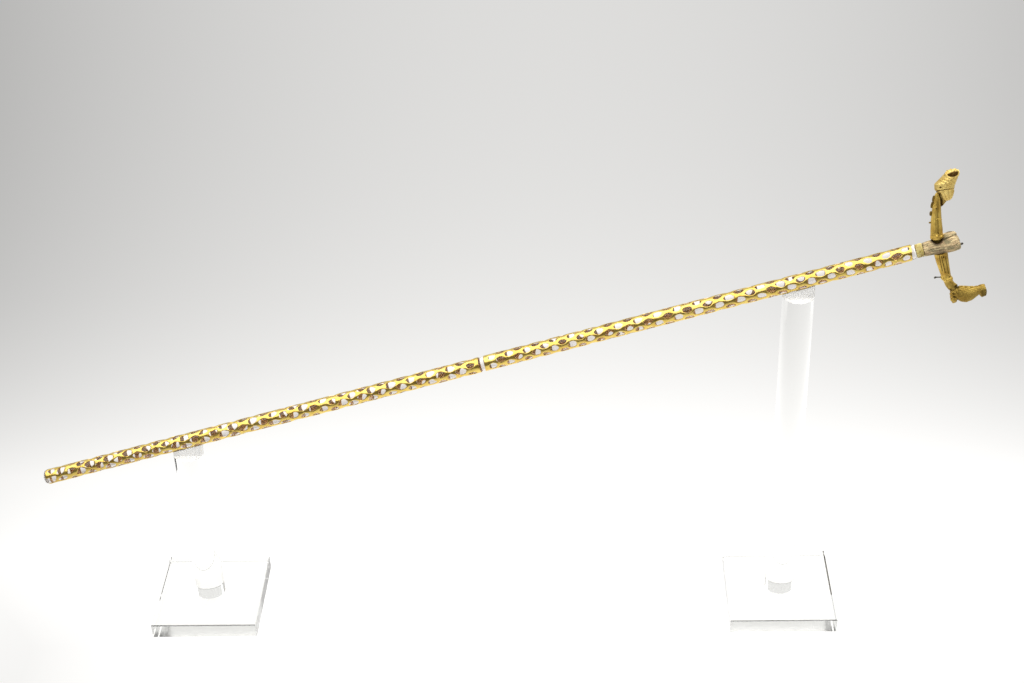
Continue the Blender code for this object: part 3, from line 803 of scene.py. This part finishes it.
UPPER_BRACT = (
    (559.7, 28.5, 560.3, 28.6, 0.8), (559.8, 30.6, 562.2, 30.2, 1.8),
    (560.0, 33.0, 564.0, 31.8, 2.4), (560.5, 35.6, 564.8, 34.2, 2.4),
    (560.5, 37.8, 564.8, 36.6, 2.0),
)
BRACT_BACK = 1.5


def joined(parts):
    """Points, faces and values of several (points, faces, values) parts as one."""
    points, faces, values, count = [], [], [], 0
    for part_points, part_faces, part_values in parts:
        points.append(part_points)
        faces += [[corner + count for corner in face] for face in part_faces]
        values.append(part_values)
        count += len(part_points)
    return np.concatenate(points), faces, np.concatenate(values)


def travelled(path):
    """How far each point of a path is from its start, along the path."""
    steps = np.linalg.norm(np.diff(path, axis=0), axis=1)
    return np.append(0, np.cumsum(steps))


def crest_tabs(sections, spans, height, shade):
    """Upright tabs of sheet along the first outline of a loft, each a rounded block.

    A span is where a tab starts and ends along that outline, in mm.  A tab is a superellipse
    (sixth power) of the span's length and the sheet's thickness, drawn in toward its top.  shade is
    painted shade given to every point of the tabs.
    """
    outline = np.array(sections)[:, :2]
    knots = travelled(outline)
    angle = full_turn(32)
    level = np.linspace(0, 1, 10)[:, None]
    shape_x = np.sign(np.cos(angle)) * abs(np.cos(angle)) ** 0.33
    shape_y = np.sign(np.sin(angle)) * abs(np.sin(angle)) ** 0.33
    narrow = (1 - 0.1 * level) * np.sqrt(1 - 0.9 * ramp(level, 0.85, 0.15) ** 2)
    for start, end in spans:
        first, place, last = [np.array([np.interp(at, knots, column) for column in outline.T])
                              for at in (start, (start + end) / 2, end)]
        run = (last - first) / np.linalg.norm(last - first)
        away = np.array([-run[1], run[0]])
        length_way = shape_x * narrow * (end - start) / 2
        height_way = (2 * level - 1) * height
        side = place + length_way[..., None] * run + height_way[..., None] * away
        depth = shape_y * narrow * CREST_THICKNESS / 2
        points, faces = closed_tube(np.stack([side[..., 0], depth, side[..., 1]], axis=-1))
        yield points, faces, np.full(len(points), shade)


def with_tarnish_and_shading(rings, sheltered):
    """A closed tube with tone and painted shading for every point, the two middle points included.
    """
    points, faces = closed_tube(rings)
    ends = sheltered[[0, -1]].mean(axis=1)
    return points, faces, np.append(np.clip(sheltered, 0, 1), ends)


def tilted(rings, knots):
    """Rings with their front half raised by a share of its depth, from knots of (rise, share)."""
    share = knotted(rings[..., 2].mean(axis=1, keepdims=True), knots)
    return rings + (share * np.maximum(-rings[..., 1], 0))[..., None] * np.array([0, 0, 1])


def ring_share(values):
    """Each value on a grid of rings as its share of the way from its ring's least to its most."""
    least, most = values.min(axis=1, keepdims=True), values.max(axis=1, keepdims=True)
    return (values - least) / (most - least)


# A negative darkening clears a bead to bright gold, a painted highlight.
def marked(along, seen, marks):
    """Height and darkening of beads and pits, each with place, size, height and darkening share."""
    shapes = [ridge(off(along, seen, place, size), 1) for place, size, _, _ in marks]
    return [sum(shape * mark[value] for shape, mark in zip(shapes, marks)) for value in (2, 3)]


def gold_piece(name, parts, material, node):
    """An arm's piece made of (points, faces, tone and shading) parts, for the CAD node it stands
    for.
    """
    points, faces, sheltered = joined(parts)
    dressed(name, on_sceptre(points), faces, material, [node], 60,
            {"sheltered": sheltered})


arm_gold = gold_finish("chased_gold_sheet", *ARM_SHEET)
head_gold_painted_lighter = gold_finish("chased_gold_sheet_painted_lighter", *HEAD_SHEET_PAINTED_LIGHTER)
neck_angle = full_turn(NECK_SIDES)
neck_flutes = (1 - np.cos(FLUTES * neck_angle)) / 2

rings = loft(UPPER_NECK, 260, NECK_SIDES, corner=0.5, dome=(0, 1.6))
rings = tilted(rings, UPPER_NECK_TILT)
along, depth, rise, seen = read_places(rings)
front = depth < 0
flute = neck_flutes * (rise > 8)
share = ring_share(along)
channel = between(share, CHANNEL_SIDES, 0.05, 0.05) * between(seen, CHANNEL_ENDS, 2, 4) * front
marks_height, marks_darkening_and_glint = marked(along, seen, UPPER_MARKS)
# The binding ring is raised and cleared of darkening, a painted highlight.
binding_and_glint = ridge(seen - BINDING[1] + 0.2 * (along - BINDING[0]), 0.3) * ramp(along, 554, 1) * front
leaf = ridge(off(along, seen, LEAF, LEAF_HALF) - 1, 0.16) * front
# Painted shadow on the sleeve's right side, where the bract comes near.
bract_shadow = ramp(share, 0.84, 0.06) * ramp(seen, 29, 1.5) * front
height = marks_height * front + 0.3 * binding_and_glint + 0.25 * leaf - 0.38 * channel
# Darker in the flutes, the channel and the pits; painted highlights on the beads and binding ring.
sheltered = marks_darkening_and_glint * front - binding_and_glint + 0.15 * flute + 0.36 * channel + 0.8 * bract_shadow
# Painted shadow over the tenon under the sleeve's rim.
sheltered = np.where(rise < 6.2, 1, sheltered)
sleeve = with_tarnish_and_shading(raised(rings, height - FLUTE_DEPTH * flute), sheltered)
crest = crest_tabs(UPPER_NECK[2:], UPPER_CREST, CREST_HEIGHT, 0.7)
gold_piece("neck_upper_sleeve", [sleeve, *crest], arm_gold, "neck_upper")

rings = tilted(loft(UPPER_HEAD, 300, 180, corner=0.6, dome=(1.2, 0.6)), UPPER_HEAD_TILT)
station = np.arange(len(rings))[:, None] / len(rings)
level = rings[..., 2].mean(axis=1, keepdims=True)
lip_station = np.argmax(level) / len(rings)
rings[..., 1] -= MOUTH_SINK * ramp(level, LIP_RISE, -1.4) * (station > lip_station)
along, depth, rise, seen = read_places(rings)
outside = station < lip_station - 0.02
inside = station > lip_station + 0.01
seam_line = seen - SEAM[1] + SEAM_FALL * (along - SEAM[0])
seam = ridge(seam_line, 0.32) * outside * (depth < 0)
lattice = sum(np.cos(2 * math.pi * (along + way * seen) / LATTICE_STEP) for way in (1, -1))
on_pod = outside * ramp(seam_line, 0, 0.8) * ramp(seen, LATTICE_TOP, -0.8) * (along > LATTICE_FROM)
below_seam = (seam_line < -0.4) * outside
petals = abs(np.sin(4.5 * np.arctan2(depth, along - PETALS_FROM))) * below_seam
eyelet = (off(along, seen, EYELET, EYELET_RADIUS) < 1) * outside * (depth < 0)
crease_shade = ridge(off(along, seen, HEAD_CREASE_SHADE, 1.0), 1) * outside
around = np.arctan2(depth, along - MOUTH_ALONG)
ragged = np.sin(9 * around) + np.sin(17 * around + 1)
lip = ridge(station - lip_station, 0.04) * ramp(depth, 0, 2)
height = -0.3 * seam + 0.12 * lattice * on_pod + 0.5 * petals - 0.9 * eyelet
head_rings = raised(rings, height)
head_rings[..., 2] += 0.3 * ragged * lip
share = ring_share(along)
# Besides the dark seam: darker in the lattice's and petals' low parts; painted shade in the eyelet,
# in the crease under the bract, on the left edge and deep in the mouth, and less on the right side
# as painted light.
sheltered = seam + 0.2 * (lattice < -0.6) * on_pod + 0.75 * eyelet + 0.7 * crease_shade
sheltered += 0.22 * (petals < 0.3) * below_seam
sheltered += (0.3 * ramp(share, 0.18, -0.1) - 0.3 * ramp(share, 0.6, 0.2)) * outside
sheltered += np.where(inside, 0.95 * ramp(rise, 52.0, -0.6), 0)
head = with_tarnish_and_shading(head_rings, np.clip(sheltered, 0, 1))
# The bract is painted shade, deepest toward the neck.
bract_rings = loft(UPPER_BRACT, 60, 60, dome=(0.5, 0.5)) + np.array([0, BRACT_BACK, 0])
bract = with_tarnish_and_shading(bract_rings, 0.35 + 0.6 * ramp(bract_rings[..., 0], 562.0, -1.2))
gold_piece("head_upper_pod", [head, bract], head_gold_painted_lighter, "head_upper")


# --- Lower arm ---
# The second sleeve hangs below the wood and turns forward into a flattened head with a flared
# open tip.  A twist of wire binds the sleeve above its elbow; both are chased sheet, as above.

LOWER_NECK = (
    (548.0, -4.8, 557.5, -4.8, 4.4), (548.2, -12.0, 556.9, -12.0, 4.1),
    (548.8, -18.5, 556.4, -18.5, 3.6), (549.4, -24.6, 556.0, -26.2, 3.1),
    (549.1, -25.2, 556.4, -27.1, 3.5), (549.4, -26.6, 556.7, -28.6, 3.5),
    (550.1, -27.4, 556.3, -29.4, 2.8), (551.0, -33.0, 557.2, -32.3, 2.7),
    (552.5, -37.0, 559.4, -35.3, 2.9),
)
CHASED_LINES = (
    (551.2, -7.0, 550.9, -21.0), (552.5, -9.0, 552.6, -22.8), (555.1, -10.0, 554.7, -24.3),
)
NECK_HOLE = (553.7, -10.3)
HOLE_RADIUS = 0.6
# As above; the two beads' negative darkening is a painted highlight.
LOWER_MARKS = (
    ((552.9, -8.3), 0.6, 0.4, -1), ((551.6, -26.4), 0.7, 0.4, -1),
    ((554.9, -26.9), 0.6, -0.4, 0.8), ((553.7, -36.8), 0.7, 0, 0.6),
)
WIRE_BAND = (553, -27)
WRAPS = 60
ELBOW_CREASE_SHADE = (558.1, -35.6)
CREASE_SHADE_SIZE = (1.9, 1.4)
LOWER_HEAD = (
    (555.6, -38.4, 555.8, -44.0, 2.0), (557.6, -36.6, 557.2, -46.8, 3.2),
    (559.6, -36.3, 558.8, -48.4, 4.0), (562.6, -37.2, 562.0, -49.6, 4.6),
    (566.0, -38.6, 566.0, -49.0, 4.4), (569.5, -39.7, 569.5, -47.2, 3.4),
    (571.6, -39.9, 571.3, -46.3, 2.9), (574.2, -39.5, 572.6, -48.8, 3.6),
    (576.4, -39.9, 575.1, -48.6, 3.4), (576.6, -40.9, 575.4, -47.4, 2.6),
    (575.4, -41.8, 574.4, -46.8, 2.5), (573.6, -42.4, 573.0, -46.2, 1.8),
    (573.2, -43.4, 572.8, -45.4, 0.9),
)
LIP_BOW = 0.7
LIP_FROM = 573
STRIAE_STEP = 0.9
CHEEK = (559.5, -42)
CHEEK_HALF = (1.6, 2.6)
FLARE_FROM = (571.8, -42.6)
LOWER_CREASE_SHADE = (558.3, -36.0)
LOWER_CREST = ((4.4, 7.4), (8.6, 11.0), (12.4, 14.4), (15.4, 17.0))
LOWER_CREST_HEIGHT = 0.6
LOWER_BULB = (
    (553.2, -37.4, 558.8, -36.2, 2.6), (552.4, -41.0, 558.4, -41.0, 3.0),
    (552.0, -45.4, 557.4, -45.4, 2.7), (552.9, -48.4, 555.4, -48.2, 1.4),
)
DIMPLES = [(place, 0.75, -0.5, 1) for place in ((554.9, -41.2), (555.1, -43.8), (557.2, -45.4))]

rings = loft(LOWER_NECK, 240, NECK_SIDES, corner=0.5, dome=(0, 1.0))
along, depth, rise, seen = read_places(rings)
front = depth < 0
flute = neck_flutes * (rise > -25)
grooves = 0
for from_along, from_seen, to_along, to_seen in CHASED_LINES:
    line = np.interp(-seen, (-from_seen, -to_seen), (from_along, to_along))
    on_line = (seen < from_seen) & (seen > to_seen) & front
    grooves = grooves + ridge(along - line, 0.36) * on_line
hole = (off(along, seen, NECK_HOLE, HOLE_RADIUS) < 1) & front
marks_height, marks_darkening_and_glint = marked(along, seen, LOWER_MARKS)
crease_shade = ridge(off(along, seen, ELBOW_CREASE_SHADE, CREASE_SHADE_SIZE), 1)
# The wire ring is raised and cleared of darkening, a painted highlight.
wire_band_and_glint = ridge(rise - WIRE_BAND[1] + 0.27 * (along - WIRE_BAND[0]), 1.0)
wrap = np.sin(WRAPS * neck_angle) * wire_band_and_glint
height = marks_height * front + 0.2 * wire_band_and_glint + 0.1 * wrap - 0.9 * hole - 0.3 * grooves
# Darker in the flutes and chased lines and toward the foot; painted shade in the hole and the
# elbow's crease.
sheltered = marks_darkening_and_glint * front - 0.8 * wire_band_and_glint + 0.15 * flute + 0.75 * grooves + 0.9 * hole
sheltered += crease_shade + 0.35 * ramp(seen, -29, -2)
sleeve = with_tarnish_and_shading(raised(rings, height - FLUTE_DEPTH * flute), sheltered)
gold_piece("neck_lower_sleeve", [sleeve], arm_gold, "neck_lower")

rings = loft(LOWER_HEAD, 300, 160, dome=(1.4, 0.4))
bowed = 1 - (2 * ring_share(rings[..., 2]) - 1) ** 2
rings[..., 0] += LIP_BOW * bowed * ramp(rings[..., 0], LIP_FROM, 2)
along, depth, rise, seen = read_places(rings)
station = np.arange(len(rings))[:, None] / len(rings)
outside = station < np.argmax(along.mean(axis=1)) / len(rings) + 0.01
striae = np.sin(2 * math.pi * (rise + 0.12 * (along - 566)) / STRIAE_STEP) * outside
cheek = ridge(off(along, seen, CHEEK, CHEEK_HALF) - 1, 0.2) * (depth < 0)
flare = ramp(along, FLARE_FROM[0], 1.5) * ramp(seen, FLARE_FROM[1], -2) * outside
crease_shade = ridge(off(along, seen, LOWER_CREASE_SHADE, CREASE_SHADE_SIZE), 1)
# Darker in the striae, on the cheek's rim and over the whole outside; painted shade inside the open
# tip, on the flare and in the crease by the elbow.
sheltered = 0.2 * (striae < -0.2) * outside + 0.2 * cheek + 0.35 * outside
sheltered += np.where(outside, 0, 0.5 + 0.25 * ramp(seen, -42, -3))
head_rings = raised(rings, 0.05 * striae + 0.2 * cheek)
head = with_tarnish_and_shading(head_rings, np.clip(sheltered + 0.3 * flare + crease_shade, 0, 1))
bulb_rings = loft(LOWER_BULB, 120, 90, dome=(0.6, 1.2))
along, depth, rise, seen = read_places(bulb_rings)
marks_height, marks_darkening_and_glint = marked(along, seen, DIMPLES)
lumps = np.sin(1.9 * along + 0.7) * np.sin(2.3 * seen)
bulb_rings = raised(bulb_rings, 0.18 * lumps + marks_height * (depth < 0))
# Lighter on the lumps, darker between them and in the dimples.
bulb = with_tarnish_and_shading(bulb_rings, 0.3 - 0.2 * lumps + marks_darkening_and_glint * (depth < 0))
crest = crest_tabs(LOWER_HEAD, LOWER_CREST, LOWER_CREST_HEIGHT, 0.35)
gold_piece("head_lower_pod", [head, bulb, *crest], arm_gold, "head_lower")


# --- Pins ---
# A bronze wire pin through the lower sleeve, its free end bent to a small hook, and the stub of a
# nail in the wood's broken end.  Both are corroded almost black, with rough, dull surfaces.

BRONZE_DARK = "#4c4b46"
BRONZE_WORN = "#6d6556"
HOOK = (
    (550.2, -25.6), (549.0, -25.1), (547.6, -24.7), (546.5, -24.4), (545.8, -24.1),
    (545.4, -24.4), (545.5, -24.9),
)
WIRE_RADIUS = 0.4
HOOK_SWELL = 1.1
NAIL = ((565.6, -3.5), (566.8, -3.4), (568.0, -3.2), (568.6, -3.1))
NAIL_RADIUS = 0.75


def bronze_finish(name):
    """Corroded bronze: near black, worn brown spots about 1 mm wide, rough, barely metallic."""
    made, shader, add = new_finish(name, {"Metallic": 0.3})
    spots = add("TexNoise", {"Scale": 1.0, "Detail": 4.0}, {"Vector": object_place(add, 1)})
    share = add("MapRange", {"From Min": 0.5, "From Max": 0.7}, {"Value": spots})
    colour = add("Mix", {"data_type": "RGBA", 6: linear(BRONZE_DARK), 7: linear(BRONZE_WORN)},
                 {"Factor": share})
    roughness = add("MapRange", {"To Min": 0.7, "To Max": 0.4}, {"Value": share})
    bump = add("Bump", {"Distance": 0.1 * MM}, {"Height": spots})
    feed(shader, {"Base Color": colour.outputs[2], "Roughness": roughness, "Normal": bump})
    return made


def bent_wire(path, radius, stations, sides, swell=0):
    """Rings of a round wire along a path of (along, rise) points, its two ends rounded off.

    The last millimetre is thicker by the share swell.
    """
    knots = travelled(path)
    travel = np.linspace(0, knots[-1], stations)
    line = np.stack([np.interp(travel, knots, column) for column in zip(*path)], axis=1)
    for _ in range(4):
        line[1:-1] = (line[:-2] + 2 * line[1:-1] + line[2:]) / 4
    run = np.gradient(line, axis=0)
    run /= np.linalg.norm(run, axis=1, keepdims=True)
    left = np.clip(1 - np.minimum(travel, knots[-1] - travel) / radius, 0, 1)
    swollen = 1 + swell * ridge(knots[-1] - travel, 1.2)
    thick = (radius * np.sqrt(1 - 0.97 * left ** 2) * swollen)[:, None]
    angle = full_turn(sides)
    side_way = np.cos(angle) * thick
    return np.stack([
        line[:, :1] + run[:, 1:] * side_way,
        np.sin(angle) * thick,
        line[:, 1:] - run[:, :1] * side_way,
    ], axis=-1)


bronze = bronze_finish("corroded_bronze_wire")
points, faces = closed_tube(bent_wire(HOOK, WIRE_RADIUS, 60, 20, HOOK_SWELL))
dressed("pin_neck_hook", on_sceptre(points), faces, bronze, ["pin_neck"])
points, faces = closed_tube(bent_wire(NAIL, NAIL_RADIUS, 30, 24))
dressed("pin_wood_stub", on_sceptre(points), faces, bronze, ["pin_wood"])


# --- Floor, light and camera ---
# A plain pale floor that glows as painted light, dimmer to the back and to the sides in a painted
# falloff, with one soft box overhead in a dim room.

FLOOR_REACH = 4.0
FLOOR_BELOW = 0.0003
FLOOR_GLOW = 0.93
FLOOR_BOUNCE = 0.055
FLOOR_WARMTH = (1.0, 0.993, 0.978)
FAR_TONE = 0.72
NEAR_GAIN = 0.42
GAIN_FROM = 0.176
GAIN_LENGTH = 0.18
MOST_GAIN = 2.0
FULL_TONE = 1.36
BRIGHT_X = 0.05
SIDE_FALL = ((0.14, 0.03), (0.45, 1.2), 0.6)
EDGE_FALL = ((0.45, 0.12), (-0.05, 0.16), 0.7)
FRONT_LENGTH = 1.65
ROOM_FRONT = "#7c7872"
ROOM_BACK = "#efefed"
BOX_SIZE = (4.2, 2.8)
BOX_PLACE = (0.0, -0.4, 1.75)
BOX_POWER = 73
CAMERA_PLACE = (0.0583, -1.0371, 0.9356)
CAMERA_TURN = tuple(math.radians(degrees) for degrees in (56.164, 1.833, 1.277))
LENS = 62.72

grid = np.linspace(-FLOOR_REACH, FLOOR_REACH, 9)
across, away = np.meshgrid(grid, grid, indexing="ij")
places = np.stack([across, away, 0 * away - FLOOR_BELOW], axis=-1).reshape(-1, 3)
quads = grid_quads(np.arange(away.size).reshape(*away.shape, 1))
floor_mesh = bpy.data.meshes.new("floor")
floor_mesh.from_pydata(places.tolist(), [], quads[..., 0].tolist())
floor = bpy.data.objects.new("floor", floor_mesh)
bpy.context.scene.collection.objects.link(floor)

# The floor's glow is painted light, its tone a painted falloff.  The tone rises toward the front as
# a power of e, up to the full tone.  It falls with the square of the distance aside, once within
# the full tone and once on top of it, and again as a power of e in front of the object.  A fall is
# two rates, where each holds, and the least tone left.
glowing_floor, shader, add = new_finish("floor_with_painted_glow_and_falloff", {
    "Roughness": 0.9,
    "Specular IOR Level": 0.1,
    "Emission Strength": FLOOR_GLOW,
})
axes = add("SeparateXYZ", {}, {"Vector": add("TexCoord").outputs["Object"]})
chains = []
for value, steps in (
    (axes.outputs["Y"], (("MULTIPLY_ADD", -1 / GAIN_LENGTH, GAIN_FROM / GAIN_LENGTH),
                         ("EXPONENT",), ("MINIMUM", MOST_GAIN),
                         ("MULTIPLY_ADD", NEAR_GAIN, FAR_TONE))),
    (axes.outputs["X"], (("MULTIPLY_ADD", 2.0, -2 * BRIGHT_X), ("POWER", 2.0))),
    (axes.outputs["Y"], (("MINIMUM", 0.0), ("DIVIDE", FRONT_LENGTH), ("EXPONENT",))),
):
    for operation, *numbers in steps:
        settings = {"operation": operation, **dict(enumerate(numbers, 1))}
        value = add("Math", settings, {0: value})
    chains.append(value)
away_tone, squared, front_tone = chains
side_tones = []
for falls, over, least in (SIDE_FALL, EDGE_FALL):
    fall = add("MapRange",
               {"From Min": over[0], "From Max": over[1], "To Min": -falls[0], "To Max": -falls[1]},
               {"Value": axes.outputs["Y"]})
    side = add("Math", {"operation": "MULTIPLY_ADD", 2: 1.0}, {0: squared, 1: fall})
    side_tones.append(add("Math", {"operation": "MAXIMUM", 1: least}, {0: side}))
tone = add("Math", {"operation": "MULTIPLY"}, {0: away_tone, 1: side_tones[0]})
full = add("Math", {"operation": "MINIMUM", 1: FULL_TONE}, {0: tone})
edged = add("Math", {"operation": "MULTIPLY"}, {0: full, 1: side_tones[1]})
lit = add("Math", {"operation": "MULTIPLY"}, {0: edged, 1: front_tone})
warm = add("VectorMath", {"operation": "MULTIPLY", 1: FLOOR_WARMTH}, {0: lit})
bounce = add("VectorMath", {"operation": "SCALE", "Scale": FLOOR_BOUNCE}, {0: warm})
feed(shader, {"Emission Color": warm, "Base Color": bounce})
floor_mesh.materials.append(glowing_floor)

box_light = bpy.data.lights.new("overhead_soft_box", "AREA")
box_light.shape = "RECTANGLE"
box_light.size, box_light.size_y = BOX_SIZE
box_light.energy = BOX_POWER
box = bpy.data.objects.new("overhead_soft_box", box_light)
box.location = BOX_PLACE
bpy.context.scene.collection.objects.link(box)

world = bpy.data.worlds.new("dim_room_with_pale_wall_behind")
world.use_nodes = True
add = partial(add_node, world.node_tree)
axes = add("SeparateXYZ", {}, {"Vector": add("TexCoord").outputs["Generated"]})
share = add("MapRange", {"From Min": -0.1, "From Max": 0.3}, {"Value": axes.outputs["Y"]})
room = add("Mix", {"data_type": "RGBA", 6: linear(ROOM_FRONT), 7: linear(ROOM_BACK)},
           {"Factor": share})
feed(world.node_tree.nodes["Background"], {"Color": room.outputs[2]})
bpy.context.scene.world = world
bpy.context.scene.view_settings.view_transform = "Standard"

camera_data = bpy.data.cameras.new("camera")
camera_data.lens = LENS
camera_data.clip_end = 20
camera = bpy.data.objects.new("camera", camera_data)
camera.location = CAMERA_PLACE
camera.rotation_euler = CAMERA_TURN
bpy.context.scene.collection.objects.link(camera)
bpy.context.scene.camera = camera
